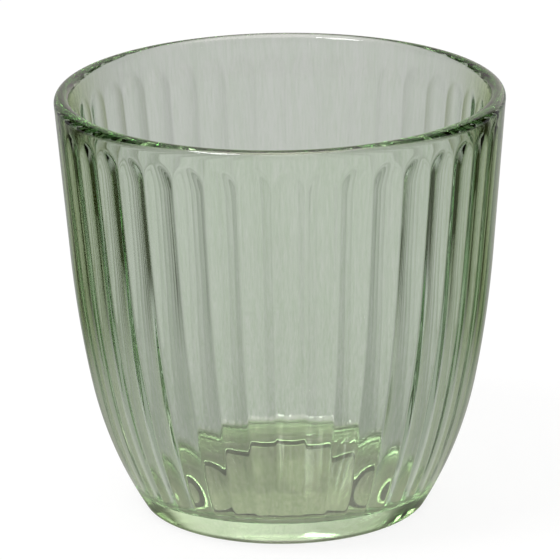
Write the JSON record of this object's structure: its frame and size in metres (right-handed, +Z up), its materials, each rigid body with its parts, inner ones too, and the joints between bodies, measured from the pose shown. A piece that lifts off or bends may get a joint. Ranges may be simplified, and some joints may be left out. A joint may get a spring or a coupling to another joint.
{
  "type": "drinking glass",
  "caption": "Stemless ribbed glass tumbler: a tapered bowl with a smooth outside, vertical ribs inside, a round lip and a thick flat base.",
  "frame": {"origin": "centre of the base, on the plane of the table that the glass stands on", "axes": "+Z up along the axis of the glass, towards the mouth; -Y is the side that faces the camera in the picture, +X is to the right"},
  "size_m": [0.089, 0.089, 0.085],
  "materials": {
    "green_glass": "clear pressed soda glass, pale grey green through its mass, fire-polished"
  },
  "bodies": {
    "root": {"tumbler": "green_glass"}
  },
  "joints": []
}
